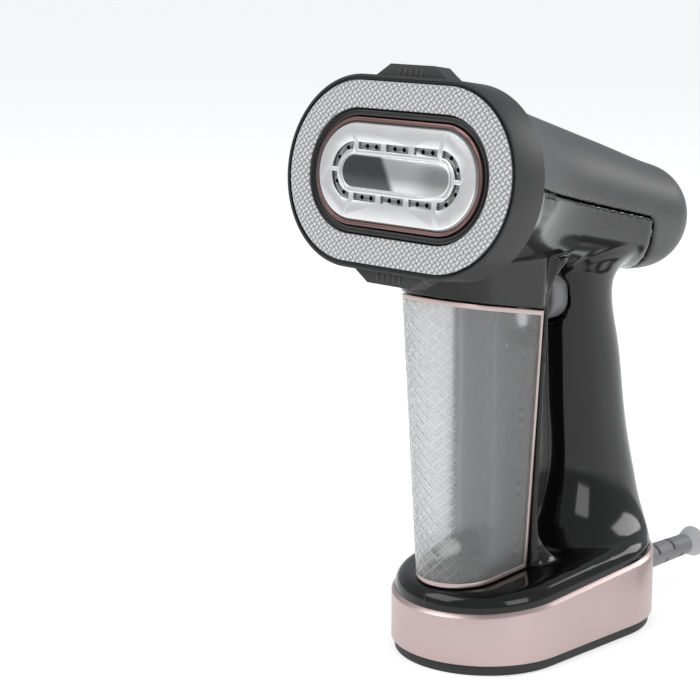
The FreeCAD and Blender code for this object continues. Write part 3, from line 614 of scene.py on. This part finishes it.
# ---- operators ----
class AddCamera(bpy.types.Operator):
    """Add the camera that looks down at the steam face from its right"""
    bl_idname = "steamer.camera"
    bl_label = "Camera"

    def execute(self, context):
        deselect()
        turn = (CAMERA_AIM - CAMERA_PLACE).to_track_quat("-Z", "Y").to_euler()
        bpy.ops.object.camera_add(location=CAMERA_PLACE, rotation=turn)
        camera = context.object
        camera.name = "camera"
        camera.data.sensor_width = 36.0
        camera.data.lens = context.scene.steamer_stage.lens
        camera.data.clip_end = 50.0
        context.scene.camera = camera
        return {"FINISHED"}


def coil_points():
    """Control points of the coil: a flat spiral in, a climb, and a flat spiral out on top of it."""
    points = []
    whole = 2 * COIL_SPIRAL_TURNS + COIL_CLIMB_TURNS
    pitch = (COIL_OUTER - COIL_INNER) / COIL_SPIRAL_TURNS
    for index in range(int(whole * POINTS_PER_TURN) + 1):
        turn = index / POINTS_PER_TURN
        if turn <= COIL_SPIRAL_TURNS:
            radius = COIL_OUTER - pitch * turn
            height = LOW_LAYER
        elif turn < COIL_SPIRAL_TURNS + COIL_CLIMB_TURNS:
            share = (turn - COIL_SPIRAL_TURNS) / COIL_CLIMB_TURNS
            radius = COIL_INNER - (COIL_INNER - COIL_CLIMB) * math.sin(math.pi * share)
            height = LOW_LAYER + (HIGH_LAYER - LOW_LAYER) * (0.5 - 0.5 * math.cos(math.pi * share))
        else:
            radius = COIL_INNER + pitch * (turn - COIL_SPIRAL_TURNS - COIL_CLIMB_TURNS)
            height = HIGH_LAYER
        radius *= COIL_SWELL
        angle = math.pi - 2 * math.pi * turn
        across = COIL_CENTRE[0] + radius * math.cos(angle)
        back = COIL_CENTRE[1] + radius * math.sin(angle)
        points.append((across, back, height))
    return points


class AddCord(bpy.types.Operator):
    """Add the mains lead, its coil, its tie, its guard and its plug"""
    bl_idname = "steamer.cord"
    bl_label = "Mains cord"

    def execute(self, context):
        settings = context.scene.steamer_cord
        curve = bpy.data.curves.new("mains_lead", "CURVE")
        curve.dimensions = "3D"
        curve.resolution_u = 5
        curve.bevel_depth = settings.diameter / 2
        curve.bevel_resolution = 5
        curve.use_fill_caps = True
        spline = curve.splines.new("NURBS")
        points = CORD_ROUTE + coil_points() + TAIL_ROUTE[1:]
        spline.points.add(len(points) - 1)
        for point, place in zip(spline.points, points):
            point.co = (*place, 1.0)
        spline.order_u = 3
        spline.use_endpoint_u = True
        lead = bpy.data.objects.new("mains_lead", curve)
        context.scene.collection.objects.link(lead)
        curve.materials.append(finishes()["cable_grey"])
        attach(lead, "housing")
        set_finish(lead, "cable_grey")
        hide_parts("cord_lead", "cord_coil", "cord_tail")

        plug = refined("plug_body", "plug_moulding", edge=0.0, smooth=50.0)
        pins = refined("plug_pins", "plug_prongs", edge=0.0005)
        refined("cord_guard", "guard_sleeve", edge=0.0003)
        refined("cord_guard_flare", "guard_flare", edge=0.0012, segments=4)
        carried("cord_core")

        place = Matrix.Translation(Vector((COIL_CENTRE[0], COIL_CENTRE[1] + 0.0413, 0.0074)))
        place = place @ Matrix(((0, 0, 1), (1, 0, 0), (0, 1, 0))).to_4x4()
        inner, middle, outer = 0.0072, 0.0076, 0.0080
        profile = [
            (inner, -0.004), (middle, -0.0045), (outer, -0.004),
            (outer, 0.004), (middle, 0.0045), (inner, 0.004),
        ]
        tie = racetrack_ring("coil_tie", profile, 0.0098, place, vertices=48)
        dress(tie, "seal_rubber")
        return {"FINISHED"}


def in_blend(point):
    """Whether a point lies where the handle flares into the barrel or into the base."""
    if 0.155 < point.z < 0.192 and point.y > -0.004 and abs(point.x) > 0.0125:
        return True
    return 0.040 < point.z < 0.066 and point.y > -0.016


class AddBody(bpy.types.Operator):
    """Add the two glossy body halves: base dome, handle, saddle and collar"""
    bl_idname = "steamer.body"
    bl_label = "Body halves"

    def execute(self, context):
        settings = context.scene.steamer_shell
        shell = copied("body_right", "body_blank", flatten=False)
        bpy.ops.object.mode_set(mode="EDIT")
        bpy.ops.mesh.select_mode(type="FACE")
        bpy.ops.object.mode_set(mode="OBJECT")
        vertices = shell.data.vertices
        for polygon in shell.data.polygons:
            widest = max(abs(vertices[index].co.x) for index in polygon.vertices)
            polygon.select = widest < MIDDLE_TOLERANCE
        bpy.ops.object.mode_set(mode="EDIT")
        bpy.ops.mesh.delete(type="FACE")
        bpy.ops.mesh.select_mode(type="VERT")
        bpy.ops.object.mode_set(mode="OBJECT")
        apply_modifier(shell, "MIRROR", use_axis=(True, False, False),
                       merge_threshold=MIDDLE_TOLERANCE)
        apply_modifier(shell, "REMESH", mode="VOXEL", voxel_size=settings.cell, use_smooth_shade=True)
        apply_modifier(shell, "SMOOTH", factor=0.5, iterations=settings.rounds)
        blends = shell.vertex_groups.new(name="blends")
        flared = [vertex.index for vertex in shell.data.vertices if in_blend(vertex.co)]
        blends.add(flared, 1.0, "REPLACE")
        apply_modifier(shell, "SMOOTH", factor=0.5, iterations=settings.blend_rounds,
                       vertex_group="blends")
        shell.vertex_groups.clear()
        pick(shell)
        bpy.ops.object.mode_set(mode="EDIT")
        bpy.ops.mesh.select_all(action="SELECT")
        seam_place = HEAD_PIVOT - HEAD_UP * SEAM_DROP
        seam_normal = HEAD_UP - HEAD_FRONT * SEAM_SLOPE
        bpy.ops.mesh.bisect(plane_co=seam_place, plane_no=seam_normal, use_fill=True, clear_outer=True)
        bpy.ops.object.mode_set(mode="OBJECT")
        for side, name, node in ((-1, "shell_left", "body_left"), (1, "shell_right", "body_right")):
            dress(halved(shell, name, side), "gloss_black", "housing", [node], 175.0)
        bpy.data.objects.remove(shell)
        return {"FINISHED"}


class AddBarrel(bpy.types.Operator):
    """Add the matte barrel cover, the power button and the light"""
    bl_idname = "steamer.barrel"
    bl_label = "Barrel cover"

    def execute(self, context):
        settings = context.scene.steamer_shell
        cover = copied("barrel_cover", "cover_shell", flatten=False)
        apply_modifier(cover, "REMESH", mode="VOXEL", voxel_size=settings.cell * 1.1,
                       use_smooth_shade=True)
        apply_modifier(cover, "SMOOTH", factor=0.5, iterations=settings.rounds)
        dress(cover, "matte_grey", "housing", ["barrel_cover"], 175.0)
        refined("power_button", "button_cap", edge=0.0003)
        refined("indicator_lens", "light_lens", edge=0.0002)
        return {"FINISHED"}


class AddNose(bpy.types.Operator):
    """Add the nose, the lip seal, the bronze ring, the steam plate and its blank plaque"""
    bl_idname = "steamer.nose"
    bl_label = "Nose and steam plate"

    def execute(self, context):
        refined("nose_housing", "nose_ring", edge=0.0005)
        refined("nose_seal", "lip_seal", edge=0.0003)
        refined("plate_bezel", "bronze_ring", edge=0.0004)
        refined("steam_plate", "soleplate", edge=0.0002)
        refined("plate_plaque", "blank_plaque", edge=0.0001)
        return {"FINISHED"}


class AddPad(bpy.types.Operator):
    """Add the clip-on pad: its frame with finger tabs, its foam and its woven cover"""
    bl_idname = "steamer.pad"
    bl_label = "Fabric pad"

    def execute(self, context):
        settings = context.scene.steamer_pad
        refined("pad_frame", "pad_ring", edge=0.0005, segments=3)
        carried("pad_foam")
        inner, outer, back, front = 0.0269, 0.0391, 0.0490, 0.0501
        crown = settings.crown
        profile = [
            (inner, back), (inner + 0.0002, front - 0.0003), (inner + 0.0008, front),
            (inner + 0.0024, front + crown * 0.6), (inner + 0.0061, front + crown),
            (outer - 0.0024, front + crown * 0.6), (outer - 0.0008, front),
            (outer - 0.0002, front - 0.0003), (outer, back),
        ]
        cloth = racetrack_ring("woven_cover", profile, HEAD_HALF, head_matrix(), vertices=192)
        apply_modifier(cloth, "SUBSURF", levels=1, render_levels=1)
        dress(cloth, "grey_weave", "pad_attachment", ["pad_fabric"], 60.0)
        for side, name in ((1, "upper_tab_ridges"), (-1, "lower_tab_ridges")):
            self.ridges(side, name)
        return {"FINISHED"}

    def ridges(self, side, name):
        """Five short finger ridges on a tab's face."""
        made = []
        for index in range(5):
            deselect()
            place = ((index - 2) * 0.0032, side * 0.0431, 0.04705)
            bpy.ops.mesh.primitive_cube_add(size=1.0, location=place)
            bar = bpy.context.object
            bar.scale = (0.0011, 0.0042, 0.0007)
            bpy.ops.object.transform_apply(location=True, rotation=True, scale=True)
            bar.data.transform(head_matrix())
            made.append(bar)
        deselect()
        for bar in made:
            bar.select_set(True)
        bpy.context.view_layer.objects.active = made[0]
        bpy.ops.object.join()
        bar = bpy.context.object
        bar.name = name
        bar.data.name = name
        apply_modifier(bar, "BEVEL", width=0.0003, segments=3)
        dress(bar, "matte_grey", "pad_attachment")


class AddTank(bpy.types.Operator):
    """Add the frosted water tank, its metal trim, its fill plug, its valve and its filter"""
    bl_idname = "steamer.tank"
    bl_label = "Water tank"

    def execute(self, context):
        refined("tank_shell", "tank_wall", edge=0.0)
        refined("tank_trim", "tank_edging", edge=0.00015)
        refined("tank_fill_plug", "fill_plug", edge=0.0004)
        for node in ("tank_valve_body", "tank_valve_poppet", "tank_valve_spring", "tank_filter"):
            carried(node)
        return {"FINISHED"}


class AddBase(bpy.types.Operator):
    """Add the rubber foot, the metal band, the base plate and its screws"""
    bl_idname = "steamer.base"
    bl_label = "Base"

    def execute(self, context):
        refined("base_band", "metal_band", edge=0.00025)
        refined("base_foot", "rubber_foot", edge=0.0008, segments=3)
        refined("base_plate", "bottom_plate", edge=0.0003)
        carried("base_screws")
        return {"FINISHED"}


class AddTrigger(bpy.types.Operator):
    """Add the trigger, its pin, bracket, spring and switch, and the grip's soft strip"""
    bl_idname = "steamer.trigger"
    bl_label = "Trigger and grip"

    def execute(self, context):
        refined("trigger", "trigger_lever", edge=0.0004, segments=3, smooth=50.0)
        refined("grip_strip", "grip_insert", edge=0.0, smooth=40.0)
        for node in ("trigger_pin", "trigger_bracket", "trigger_spring", "microswitch"):
            carried(node)
        return {"FINISHED"}


class AddInside(bpy.types.Operator):
    """Add the boiler, the pump, the boards, the hoses and the wiring inside"""
    bl_idname = "steamer.inside"
    bl_label = "Inner parts"

    def execute(self, context):
        for node, name in (("boiler_base", "boiler_casting"), ("boiler_lid", "boiler_cover"),
                           ("pump_body", "pump_housing"), ("terminal_block", "terminal_moulding")):
            refined(node, name, edge=0.0008, segments=3)
        for node in frame["nodes"]:
            shown = not frame["nodes"][node].hide_render
            if shown and "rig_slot" not in frame["nodes"][node]:
                carried(node)
        return {"FINISHED"}


class AddStage(bpy.types.Operator):
    """Add the pale floor and the soft studio light"""
    bl_idname = "steamer.stage"
    bl_label = "Floor and light"

    def execute(self, context):
        settings = context.scene.steamer_stage
        deselect()
        bpy.ops.mesh.primitive_plane_add(size=settings.floor_size, location=(0, 0, 0))
        floor = context.object
        floor.name = "floor"
        floor.data.materials.append(floor_finish("pale_floor"))
        self.soft_light("key", (-0.7, -1.3, 1.5), (0.0, 0.0, 0.15), 1.3, settings.key)
        self.soft_light("fill", (1.5, -0.2, 0.7), (0.0, 0.0, 0.15), 0.8, settings.fill)
        self.soft_light("edge", (0.5, 1.4, 0.9), (0.0, 0.0, 0.18), 0.7, settings.fill)
        world = bpy.data.worlds.new("studio")
        world.use_nodes = True
        tree = world.node_tree
        tree.nodes.clear()
        path = tree.nodes.new("ShaderNodeLightPath")
        seen = tree.nodes.new("ShaderNodeBackground")
        seen.inputs["Color"].default_value = (1.0, 1.0, 1.0, 1.0)
        seen.inputs["Strength"].default_value = 1.0
        around = tree.nodes.new("ShaderNodeBackground")
        around.inputs["Color"].default_value = (0.96, 0.98, 1.0, 1.0)
        around.inputs["Strength"].default_value = 0.56
        mix = tree.nodes.new("ShaderNodeMixShader")
        end = tree.nodes.new("ShaderNodeOutputWorld")
        tree.links.new(path.outputs["Is Camera Ray"], mix.inputs["Fac"])
        tree.links.new(around.outputs["Background"], mix.inputs[1])
        tree.links.new(seen.outputs["Background"], mix.inputs[2])
        tree.links.new(mix.outputs["Shader"], end.inputs["Surface"])
        context.scene.world = world
        context.scene.view_settings.view_transform = "Standard"
        return {"FINISHED"}

    def soft_light(self, name, place, aim, size, power):
        deselect()
        turn = (Vector(aim) - Vector(place)).to_track_quat("-Z", "Y").to_euler()
        bpy.ops.object.light_add(type="AREA", location=place, rotation=turn)
        light = bpy.context.object
        light.name = name
        light.data.shape = "SQUARE"
        light.data.size = size
        light.data.energy = power


STEPS = [
    AddCamera, AddCord, AddBody, AddBarrel, AddNose, AddPad, AddTank, AddBase, AddTrigger, AddInside,
    AddStage,
]
SETTINGS = [ShellSettings, PadSettings, TankSettings, CordSettings, StageSettings]
SETTING_NAMES = ["steamer_shell", "steamer_pad", "steamer_tank", "steamer_cord", "steamer_stage"]


class SteamerPanel(bpy.types.Panel):
    """Lists the steps that build the steamer"""
    bl_idname = "VIEW3D_PT_steamer"
    bl_label = "Garment steamer"
    bl_space_type = "VIEW_3D"
    bl_region_type = "UI"
    bl_category = "Steamer"

    def draw(self, context):
        for name in SETTING_NAMES:
            group = getattr(context.scene, name)
            box = self.layout.box()
            for key in group.__annotations__:
                box.prop(group, key)
        for step in STEPS:
            self.layout.operator(step.bl_idname)


def register():
    for kind in SETTINGS + STEPS + [SteamerPanel]:
        bpy.utils.register_class(kind)
    for name, kind in zip(SETTING_NAMES, SETTINGS):
        setattr(bpy.types.Scene, name, bpy.props.PointerProperty(type=kind))


def unregister():
    for name in SETTING_NAMES:
        delattr(bpy.types.Scene, name)
    for kind in reversed(SETTINGS + STEPS + [SteamerPanel]):
        bpy.utils.unregister_class(kind)


def main():
    register()
    for step in STEPS:
        group, name = step.bl_idname.split(".")
        getattr(getattr(bpy.ops, group), name)()


if __name__ == "__main__":
    main()
